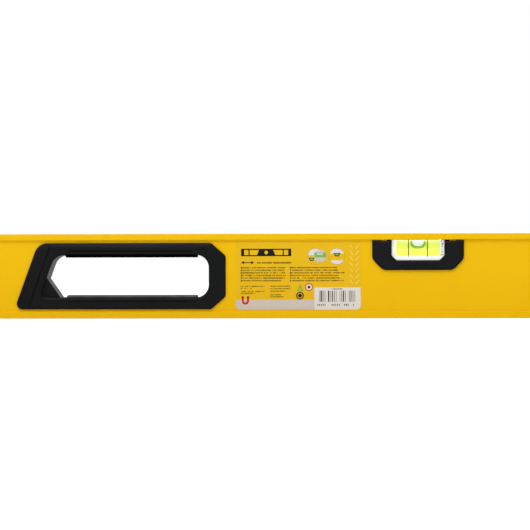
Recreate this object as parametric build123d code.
from build123d import *
import math
import os

# A 90 cm magnetic box-beam spirit level, built as separate pieces. All sizes are in millimetres.
# X runs along the beam, Y across it with the labelled face at -Y, and Z up. The origin is the middle of
# the lower measuring face. Outlines are drawn in X and Z, as seen from the front.

# Beam: an aluminium box extrusion with raised rails along its top and bottom edges
beam_length = 890.0
beam_height = 50.0
beam_thickness = 22.0
rail_height = 3.7
rail_relief = 1.2  # how far the webs lie inside the rails' faces
rail_slope = 0.6  # height of the sloped step from rail to web
web_wall = 1.5
flange_wall = 2.5
edge_radius = 0.4
cavity_radius = 1.0

# Fits
cutout_gap = 0.15  # between a collar and the hole cut for it in the webs
nest_gap = 0.10  # between a piece and the pocket that holds it
split_gap = 0.05  # round parts that are pressed or glued together
bubble_gap = 0.25  # round a bubble, over its whole travel

# End caps
cap_thickness = 5.0
cap_inset = 0.4  # keeps a cap clear of both measuring faces
cap_corner_radius = 2.5
cap_edge_radius = 1.2
cap_plug_length = 16.0
cap_plug_wall = 2.0
cap_groove_count = 3
cap_groove_pitch = 9.0
cap_groove_width = 2.4
cap_groove_length = 15.0
cap_groove_depth = 0.9

# Hand grips: two half shells that lap inside the beam
grip_inner_x = 113.5  # from the middle of the beam to the grip's square end
grip_length = 125.6
grip_rail_gap = 1.7  # bare web between the shell and each rail
grip_bar = 7.1  # width of the shell above and below the hand hole
grip_end_bar = 10.0
grip_slant_bar = 12.6
grip_slant = 20.0  # degrees
grip_chamfer_x = 8.6
grip_chamfer_z = 7.6
grip_acute_radius = 3.5
grip_obtuse_radius = 8.0
grip_chamfer_radius = 3.0
grip_plate = 2.0  # how far the shell stands off the web
grip_bevel_width = 3.0
grip_bevel_depth = 1.1
grip_collar = 2.4
hole_end_radius = 7.5
hole_slant_radius = 8.0
hole_acute_radius = 3.0
hole_bevel_width = 1.3
hole_bevel_depth = 0.8
gusset_height = 11.5
gusset_length = 12.3
gusset_recess = 2.2
gusset_wall = 1.8
groove_inset = 7.7
groove_width = 0.7
groove_depth = 0.4

# Soft pads on the hand hole's long edges
pad_end_inset = 7.6  # from the hole's square end to the pads' ends
lower_pad_inset = 3.6  # from the gusset's foot
upper_pad_inset = 6.0  # from the hole's slanted end
pad_seat = 0.8  # how deep a pad is let into the collar
pad_crown = 1.4
pad_lip_height = 2.5
pad_lip_wall = 1.5
pad_lip_slope = 0.7
pad_proud = 0.1

# Lap tongues that join a front half to a back half
tongue_length = 5.0
tongue_width = 8.0
tongue_layer = 0.42  # the outer part of the collar's wall, as a share of it
tongue_root = 1.0
bead_radius = 0.2
bead_inset = 1.5

# Vials: a clear block with a barrel-shaped bore
vial_bore_radius = 4.8
vial_bore_length = 26.0
vial_barrel = 0.12  # how much the bore narrows towards its ends
vial_round = 1.6
vial_wall = 1.05
vial_end_wall = 1.1
vial_plug_radius = 5.2
vial_web_gap = 0.4  # between the block's crowned faces and the inside of the webs
vial_crown = 1.2
vial_flange_gap = 0.25  # between the centre vial's block and the flange over it
ring_gap = 0.85  # between a centred bubble's end and a gauge ring
ring_width = 0.5
ring_height = 0.3
bubble_length = 9.4
bubble_radius = 3.0
bubble_round = 2.2
bubble_top_gap = 0.23  # over the level bubble, at the bore's narrow ends
bubble_end_gap = 0.3
plumb_bubble_length = 8.0
plumb_bubble_round = 2.6
plumb_fluid_wall = 0.53

# Vial holders: a white cradle between two black bezels
cradle_wall = 2.3
cradle_chamfer = 3.4
cradle_web_gap = 0.25
bezel_plate = 1.8
bezel_collar = 1.7
bezel_rim = 1.05  # how far the bezel covers the cradle's front edge
bezel_rim_bevel = 1.1
bezel_edge_width = 1.1
bezel_edge_depth = 0.7
bezel_side = 10.5  # from the cradle to the bezel's outer edge at its sides
bezel_bottom = 4.85
bezel_corner_x = 6.4
bezel_corner_z = 6.6
bezel_corner_radius = 5.0
bezel_top_gap = 0.1
bezel_notch_depth = 0.7
bezel_notch_end = 5.1
slot_length = 20.0
slot_height = 1.4
slot_depth = 0.3
slot_rise = 1.6
top_window_length = 27.0
top_window_width = 9.0
top_window_radius = 2.0

# Plumb vials near both ends
plumb_from_end = 65.0
plumb_rail_gap = 1.8
plumb_cover = 3.0  # from the cradle to the bezel's edge, along the vial
plumb_side = 5.75
plumb_corner = 5.5
plumb_corner_radius = 4.0

# Base magnets in steel cups
inner_magnet_x = 60.0
middle_magnet_x = 270.0
magnet_from_end = 27.0
magnet_radius = 4.9
magnet_height = 4.0
cup_wall = 1.0
cup_recess = 0.12
magnet_recess = 0.2

# Label
label_inner_x = 33.7
label_length = 73.9
label_thickness = 0.12
label_top_gap = 0.2
label_bottom_gap = 0.6
label_radius = 2.5

# Places that follow from the sizes above
rail_face = beam_thickness / 2
web_face = rail_face - rail_relief
web_inside = web_face - web_wall
web_low = rail_height + rail_slope
web_high = beam_height - web_low
rail_low = beam_height - rail_height
cavity_low = flange_wall
cavity_high = beam_height - flange_wall
beam_end = beam_length / 2
plumb_x = beam_end - plumb_from_end
magnet_places = (inner_magnet_x, middle_magnet_x, beam_end - magnet_from_end)
far = 60.0  # a cutter's reach past anything it cuts


def outline(*corners):
    """A closed face through corners, each given as (x, z, radius)."""
    path = FilletPolyline(*[(x, z) for x, z, _ in corners], radius=[r for _, _, r in corners], close=True)
    return make_face(path.edges())


def slab(face, y_low, y_high):
    """A face drawn in X and Z, made solid between two planes across the beam."""
    return Pos(0, y_high, 0) * extrude(Plane.XZ * face, amount=y_high - y_low)


def block(x_low, x_high, y_low, y_high, z_low, z_high):
    """A box between two opposite corners."""
    middle = Pos((x_low + x_high) / 2, (y_low + y_high) / 2, (z_low + z_high) / 2)
    return middle * Box(x_high - x_low, y_high - y_low, z_high - z_low)


def rod(radius, x_low, x_high, y=0.0, z=0.0):
    """A cylinder that lies along X."""
    return Pos((x_low + x_high) / 2, y, z) * Rot(0, 90, 0) * Cylinder(radius, x_high - x_low)


def bevelled(piece, width, depth, outer=True):
    """Bevels the rim of the foremost face, or of its holes: width across the face, depth down the side."""
    face = piece.faces().filter_by(Axis.Y).sort_by(Axis.Y)[0]
    loops = [face.outer_wire()] if outer else face.inner_wires()
    rim = [edge for loop in loops for edge in loop.edges()]
    return chamfer(rim, length=width, length2=depth, reference=face)


def tongue(x, z, turn, wall, margin=0.0):
    """A lap tongue in a collar's outer layer at (x, z). Turn is 0 where the collar faces +X, -90 for +Z."""
    layer = wall * tongue_layer + margin
    half = tongue_width / 2 + margin
    strip = block(-layer, margin, -tongue_root, tongue_length + margin, -half, half)
    bead = Pos(-layer, tongue_length - bead_inset, 0) * Cylinder(bead_radius, 2 * half - 2 * bead_inset)
    return Pos(x, 0, z) * Rot(0, turn, 0) * (strip + bead)


def halves(front_half, spots, wall):
    """A front half with lap tongues at the given spots, and its mirror image with notches for them."""
    front, back = front_half, mirror(front_half, about=Plane.XZ)
    for x, z, turn in spots:
        front += tongue(x, z, turn, wall)
        back -= tongue(x, z, turn, wall, margin=split_gap)
    return front, back


def write(name, *pieces):
    """Writes one node. A node may hold several separate solids."""
    solids = [solid for piece in pieces for solid in piece.solids()]
    shape = solids[0] if len(solids) == 1 else Compound(solids)
    shape.label = name
    export_step(shape, f"parts/{name}.step")


# Hand grips. The left one is drawn in place, and the right one is the same assembly turned half round Z.
grip_low = rail_height + grip_rail_gap
grip_high = beam_height - grip_low
grip_right = -grip_inner_x
grip_left = grip_right - grip_length
grip_face = web_face + grip_plate
hole_low = grip_low + grip_bar
hole_high = grip_high - grip_bar
hole_right = grip_right - grip_end_bar
lean = math.tan(math.radians(grip_slant))


def slanted_x(z, inset=0.0):
    """Where the grip's slanted end, moved in by inset, crosses height z."""
    return grip_left + (z - grip_low) * lean + inset


gusset_foot = slanted_x(hole_low, grip_slant_bar) + gusset_length
pad_right = hole_right - pad_end_inset
lower_pad_left = gusset_foot + lower_pad_inset
upper_pad_left = slanted_x(hole_high, grip_slant_bar) + upper_pad_inset


def grip_outline():
    return outline(
        (grip_left, grip_low, grip_acute_radius),
        (slanted_x(grip_high), grip_high, grip_obtuse_radius),
        (grip_right - grip_chamfer_x, grip_high, grip_chamfer_radius),
        (grip_right, grip_high - grip_chamfer_z, grip_chamfer_radius),
        (grip_right, grip_low + grip_chamfer_z, grip_chamfer_radius),
        (grip_right - grip_chamfer_x, grip_low, grip_chamfer_radius),
    )


def hand_hole():
    return outline(
        (slanted_x(hole_low, grip_slant_bar), hole_low, hole_acute_radius),
        (slanted_x(hole_high, grip_slant_bar), hole_high, hole_slant_radius),
        (hole_right, hole_high, hole_end_radius),
        (hole_right, hole_low, hole_end_radius),
    )


def gusset(thickness):
    """The lower slanted corner of the hand hole, as deep as thickness behind its sloping edge."""
    foot = Vector(gusset_foot, hole_low)
    tip_z = hole_low + gusset_height
    tip = Vector(slanted_x(tip_z, grip_slant_bar), tip_z)
    run = (foot - tip).normalized()
    deep = Vector(run.Y, -run.X) * thickness
    start, end = tip - run * far, foot + run * far
    band = [start, end, end + deep, start + deep]
    return hand_hole() & make_face(Polyline(*[(c.X, c.Y) for c in band], close=True).edges())


def groove():
    """The shallow line across the shell's face, parallel to its slanted end."""
    low, high = grip_low - far, grip_high + far
    corners = [(slanted_x(z, x), z) for x, z in (
        (groove_inset, low), (groove_inset + groove_width, low),
        (groove_inset + groove_width, high), (groove_inset, high),
    )]
    return slab(make_face(Polyline(*corners, close=True).edges()), -far, groove_depth - grip_face)


def pad(left, edge, up):
    """A soft strip on the hole's edge at that height, with lips over both shells. Up is 1 or -1."""
    out, lip, inner = grip_face + pad_proud, grip_face - pad_lip_slope, grip_face - pad_lip_wall
    low = -pad_lip_height
    sides = [
        (lip, 0), (out, low), (inner, low), (inner, -pad_seat),
        (-inner, -pad_seat), (-inner, low), (-out, low), (-lip, 0),
    ]
    crown = ThreePointArc((-lip, edge), (0, edge + up * pad_crown), (lip, edge))
    section = make_face([crown, *Polyline(*[(y, edge + up * z) for y, z in sides]).edges()])
    strip = extrude(Plane.YZ.offset(left) * section, amount=pad_right - left)
    ends = [
        (left + pad_lip_height, edge + up * low), (pad_right - pad_lip_height, edge + up * low),
        (pad_right, edge), (pad_right, edge + up * far), (left, edge + up * far), (left, edge),
    ]
    return strip & slab(make_face(Polyline(*ends, close=True).edges()), -far, far)


def grip_pieces():
    lower = pad(lower_pad_left, hole_low, 1)
    upper = pad(upper_pad_left, hole_high, -1)
    plate = bevelled(slab(grip_outline(), -grip_face, -web_face), grip_bevel_width, grip_bevel_depth)
    plate -= slab(hand_hole(), -far, far)
    plate = bevelled(plate, hole_bevel_width, hole_bevel_depth, outer=False)
    collar = slab(offset(hand_hole(), grip_collar), -web_face, 0) - slab(hand_hole(), -far, far)
    shell = plate + collar
    corner_face = gusset_recess - grip_face
    shell += slab(gusset(far), corner_face, corner_face + gusset_wall)
    shell += slab(gusset(gusset_wall), corner_face, 0)
    shell -= groove()
    shell -= lower
    shell -= upper
    near_x, middle_z = hole_right - hole_end_radius - tongue_width, (hole_low + hole_high) / 2
    top, bottom = hole_high + grip_collar, hole_low - grip_collar
    spots = [(x, z, turn) for x in (near_x, upper_pad_left) for z, turn in ((top, -90), (bottom, 90))]
    spots.append((hole_right + grip_collar, middle_z, 0))
    front, back = halves(shell, spots, grip_collar)
    return {"front_shell": front, "back_shell": back, "upper_pad": upper, "lower_pad": lower}


# Vial stations, drawn with the vial's axis along X through the origin
vial_half_height = vial_bore_radius + vial_wall
bore_end_radius = vial_bore_radius - vial_barrel
bubble_rise = bore_end_radius - bubble_top_gap - bubble_radius
plumb_bubble_radius = bore_end_radius - plumb_fluid_wall - bubble_gap
vial_depth = web_inside - vial_web_gap
cradle_depth = web_inside - cradle_web_gap
cradle_height = vial_half_height + nest_gap + cradle_wall
bezel_face = web_face + bezel_plate
bezel_back = cradle_depth + nest_gap


def cradle_half_length(bore_length):
    return bore_length / 2 + vial_end_wall + nest_gap + cradle_wall


def bore_length_in(half_length):
    """The longest bore that fits in a cradle of that half length."""
    return 2 * (half_length - cradle_wall - nest_gap - vial_end_wall)


def cell(bore_length, grow, top, chamfer_size):
    """A cradle's outline grown on every side. With top given, it is open upwards and ends at that height."""
    wide = cradle_half_length(bore_length) + grow
    high = cradle_height + grow
    cut = chamfer_size + grow * (2 - math.sqrt(2))
    low_corners = [(-wide + cut, -high), (wide - cut, -high), (wide, -high + cut)]
    if top is None:
        high_corners = [(wide, high - cut), (wide - cut, high), (-wide + cut, high), (-wide, high - cut)]
    else:
        high_corners = [(wide, top), (-wide, top)]
    return make_face(Polyline(*low_corners, *high_corners, (-wide, -high + cut), close=True).edges())


def bore(bore_length):
    """The barrel-shaped space inside a vial: rounded at its left end, flat against the plug at the right."""
    half, end = bore_length / 2, bore_end_radius
    turn = vial_round * math.sqrt(0.5)
    corner = (-half + vial_round - turn, end - vial_round + turn)
    side = ThreePointArc((-half + vial_round, end), (0, vial_bore_radius), (half, end))
    bend = ThreePointArc((-half, end - vial_round), corner, (-half + vial_round, end))
    rest = Polyline((half, end), (half, 0), (-half, 0), (-half, end - vial_round))
    return revolve(Plane.XZ * make_face([side, bend, *rest.edges()]), Axis.X)


def gauge_rings(bubble):
    place = bubble / 2 + ring_gap
    solid = rod(vial_bore_radius + ring_height, -ring_width / 2, ring_width / 2)
    ring = solid - rod(vial_bore_radius, -ring_width, ring_width)
    return [Pos(side * place, 0, 0) * ring for side in (-1, 1)]


def vial_block(bore_length, rings):
    half = bore_length / 2 + vial_end_wall
    crown = vial_depth - vial_crown
    side = vial_half_height
    front = ThreePointArc((-crown, -side), (-vial_depth, 0), (-crown, side))
    back = ThreePointArc((crown, side), (vial_depth, 0), (crown, -side))
    top = Line((-crown, side), (crown, side))
    bottom = Line((crown, -side), (-crown, -side))
    body = extrude(Plane.YZ.offset(-half) * make_face([front, top, back, bottom]), amount=2 * half)
    body -= bore(bore_length)
    body -= rod(vial_plug_radius, bore_length / 2, far)
    for ring in rings:
        body -= ring
    return body


def capsule(radius, length, round_radius):
    body = rod(radius, -length / 2, length / 2)
    return fillet(body.edges().filter_by(GeomType.CIRCLE), round_radius)


def bezel_half(bore_length, edge, top, chamfer_size):
    """The front bezel: a bevelled plate, a rim over the cradle's edge and a collar down to mid-plane."""
    plate = bevelled(slab(edge, -bezel_face, -web_face), bezel_edge_width, bezel_edge_depth)
    collar = slab(cell(bore_length, nest_gap + bezel_collar, top, chamfer_size), -web_face, 0)
    pocket = slab(cell(bore_length, nest_gap, top and far, chamfer_size), -bezel_back, far)
    window = cell(bore_length, -bezel_rim, top and far, chamfer_size)
    mouth = cell(bore_length, bezel_rim_bevel - bezel_rim, top and far, chamfer_size)
    rim = loft([
        Plane.XZ.offset(bezel_face) * mouth,
        Plane.XZ.offset(bezel_face - bezel_rim_bevel) * window,
    ])
    return plate + collar - pocket - slab(window, -far, far) - rim


def station(bore_length, edge, top, chamfer_size, bubble, rise, place, radius, round_radius):
    """Every piece of one vial station. Place is where the bubble rests along the vial."""
    half = bore_length / 2
    rings = gauge_rings(bubble)
    shell = bezel_half(bore_length, edge, top, chamfer_size)
    outer_x = cradle_half_length(bore_length) + nest_gap + bezel_collar
    outer_z = cradle_height + nest_gap + bezel_collar
    spots = [(outer_x, 0, 0), (-outer_x, 0, 180), (0, -outer_z, 90)]
    if top is None:
        spots.append((0, outer_z, -90))
    front, back = halves(shell, spots, bezel_collar)
    room_x, room_z = outer_x - nest_gap - bezel_collar - cradle_wall, vial_half_height + nest_gap
    cradle = slab(cell(bore_length, 0, top, chamfer_size), -cradle_depth, cradle_depth)
    cradle -= block(-room_x, room_x, -far, far, -room_z, far if top else room_z)
    free = rod(radius + bubble_gap, -far, far, z=rise)
    if rise:
        free += block(-far, far, -radius - bubble_gap, radius + bubble_gap, rise, far)
    return {
        "bezel_front": [front],
        "bezel_back": [back],
        "reflector": [cradle],
        "vial_block": [vial_block(bore_length, rings)],
        "vial_plug": [rod(vial_plug_radius - split_gap, half, half + vial_end_wall)],
        "gauge_rings": rings,
        "fluid": [bore(bore_length) - free],
        "bubble": [Pos(place, 0, rise) * capsule(radius, bubble, round_radius)],
    }


# The centre station sits right under the top flange, with its cradle and bezels open upwards.
centre_z = cavity_high - vial_flange_gap - vial_half_height
centre_bore = vial_bore_length
rail_edge = rail_low - centre_z
centre_top = rail_edge - bezel_top_gap
centre_wide = cradle_half_length(centre_bore) + bezel_side
centre_deep = cradle_height + bezel_bottom


def centre_edge():
    notch = centre_top - bezel_notch_depth
    notch_x = centre_wide - bezel_notch_end
    right = [
        (centre_wide - bezel_corner_x, -centre_deep, bezel_corner_radius),
        (centre_wide, bezel_corner_z - centre_deep, bezel_corner_radius),
        (centre_wide, centre_top, 0),
        (notch_x + bezel_notch_depth, centre_top, 0),
        (notch_x - bezel_notch_depth, notch, 0),
    ]
    return outline(*right, *[(-x, z, r) for x, z, r in reversed(right)])


def rail_relief_cut():
    """Keeps the centre bezels clear of the top rail's sloped step."""
    low = web_high - centre_z - bezel_top_gap
    shape = [(web_face, low), (rail_face, centre_top), (far, centre_top), (far, far), (web_face, far)]
    face = make_face(Polyline(*shape, close=True).edges())
    return extrude(Plane.YZ.offset(-far) * face, amount=2 * far)


def centre_pieces():
    pieces = station(
        centre_bore, centre_edge(), centre_top, cradle_chamfer,
        bubble_length, bubble_rise, 0.0, bubble_radius, bubble_round,
    )
    cut = rail_relief_cut()
    low = -centre_deep + slot_rise
    slot = block(-slot_length / 2, slot_length / 2, -far, slot_depth - bezel_face, low, low + slot_height)
    front, back = pieces["bezel_front"][0], pieces["bezel_back"][0]
    pieces["bezel_front"] = [front - mirror(cut, about=Plane.XZ) - slot]
    pieces["bezel_back"] = [back - cut - mirror(slot, about=Plane.XZ)]
    return pieces


# A plumb station is turned upright. Its length follows from the room between the rails.
plumb_half_room = beam_height / 2 - rail_height - plumb_rail_gap
plumb_bore = bore_length_in(plumb_half_room - plumb_cover)


def plumb_edge():
    wide, high, cut = plumb_half_room, cradle_height + plumb_side, plumb_corner
    corners = [(wide - cut, -high), (wide, -high + cut), (wide, high - cut), (wide - cut, high)]
    corners += [(-x, z) for x, z in reversed(corners)]
    return outline(*[(x, z, plumb_corner_radius) for x, z in corners])


def plumb_pieces():
    rest = plumb_bore / 2 - bubble_end_gap - plumb_bubble_length / 2
    return station(
        plumb_bore, plumb_edge(), None, cradle_chamfer,
        plumb_bubble_length, 0.0, rest, plumb_bubble_radius, plumb_bubble_round,
    )


centre_place = Pos(0, 0, centre_z)


def plumb_place(side):
    return Pos(side * plumb_x, 0, beam_height / 2) * Rot(0, -90, 0)


def beam_profile():
    quarter = [
        (rail_face, 0, edge_radius), (rail_face, rail_height, edge_radius / 2),
        (web_face, web_low, edge_radius / 2),
    ]
    upper = [(y, beam_height - z, r) for y, z, r in reversed(quarter)]
    right = quarter + upper
    return outline(*right, *[(-y, z, r) for y, z, r in reversed(right)])


def cavity_profile(shrink=0.0):
    side, low, high = web_inside - shrink, cavity_low + shrink, cavity_high - shrink
    corners = ((side, low), (side, high), (-side, high), (-side, low))
    return outline(*[(y, z, cavity_radius) for y, z in corners])


def cup_hole_radius():
    return magnet_radius + 2 * split_gap + cup_wall


def beam():
    walls = beam_profile() - cavity_profile()
    body = extrude(Plane.YZ.offset(-beam_end) * walls, amount=beam_length)
    hole = slab(offset(hand_hole(), grip_collar + cutout_gap), -far, far)
    body -= hole
    body -= Rot(0, 0, 180) * hole
    reach = nest_gap + bezel_collar + cutout_gap
    body -= centre_place * slab(cell(centre_bore, reach, rail_edge, cradle_chamfer), -far, far)
    plumb_hole = slab(cell(plumb_bore, reach, None, cradle_chamfer), -far, far)
    for side in (-1, 1):
        body -= plumb_place(side) * plumb_hole
    window = RectangleRounded(top_window_length, top_window_width, top_window_radius)
    body -= extrude(Plane.XY.offset(centre_z) * window, amount=far)
    for x in magnet_places:
        for side in (-1, 1):
            body -= Pos(side * x, 0, 0) * Cylinder(cup_hole_radius(), 2 * flange_wall + 1)
    return body


def magnets():
    return [
        Pos(side * x, 0, magnet_recess + magnet_height / 2) * Cylinder(magnet_radius, magnet_height)
        for x in magnet_places for side in (-1, 1)
    ]


def magnet_cups():
    inner = magnet_radius + split_gap
    high = magnet_recess + magnet_height + cup_wall
    cup = Pos(0, 0, (cup_recess + high) / 2) * Cylinder(inner + cup_wall, high - cup_recess)
    cup -= Cylinder(inner, 2 * (magnet_recess + magnet_height))
    return [Pos(side * x, 0, 0) * cup for x in magnet_places for side in (-1, 1)]


def end_cap():
    """The right-hand cap: a rounded plate over the beam's end, with a hollow plug inside the beam."""
    height = beam_height - 2 * cap_inset
    rounded = Pos(0, beam_height / 2) * RectangleRounded(beam_thickness, height, cap_corner_radius)
    plate = extrude(Plane.YZ.offset(beam_end) * rounded, amount=cap_thickness)
    plate = fillet(plate.faces().sort_by(Axis.X)[-1].edges(), cap_edge_radius)
    floor = Plane.YZ.offset(beam_end + cap_thickness - cap_groove_depth)
    for i in range(cap_groove_count):
        z = beam_height / 2 + (i - (cap_groove_count - 1) / 2) * cap_groove_pitch
        plate -= extrude(floor * Pos(0, z) * SlotOverall(cap_groove_length, cap_groove_width), amount=far)
    ring = cavity_profile(nest_gap) - cavity_profile(nest_gap + cap_plug_wall)
    return plate + extrude(Plane.YZ.offset(beam_end - cap_plug_length) * ring, amount=cap_plug_length)


def label():
    left, right = -label_inner_x - label_length, -label_inner_x
    low, high = web_low + label_bottom_gap, web_high - label_top_gap
    shape = outline((left, low, label_radius), (right, low, label_radius), (right, high, 0), (left, high, 0))
    return slab(shape, -web_face - label_thickness, -web_face)


os.makedirs("parts", exist_ok=True)
write("beam", beam())
write("end_cap_right", end_cap())
write("end_cap_left", Rot(0, 0, 180) * end_cap())
write("info_label", label())
write("magnet_cups", *magnet_cups())
write("magnets", *magnets())
turned_names = {"front_shell": "back_shell", "back_shell": "front_shell"}
for name, piece in grip_pieces().items():
    write(f"handle_left_{name}", piece)
    write(f"handle_right_{turned_names.get(name, name)}", Rot(0, 0, 180) * piece)
for name, solids in centre_pieces().items():
    write(f"centre_{name}", *[centre_place * solid for solid in solids])
for name, solids in plumb_pieces().items():
    for side, word in ((-1, "left"), (1, "right")):
        write(f"plumb_{word}_{name}", *[plumb_place(side) * solid for solid in solids])
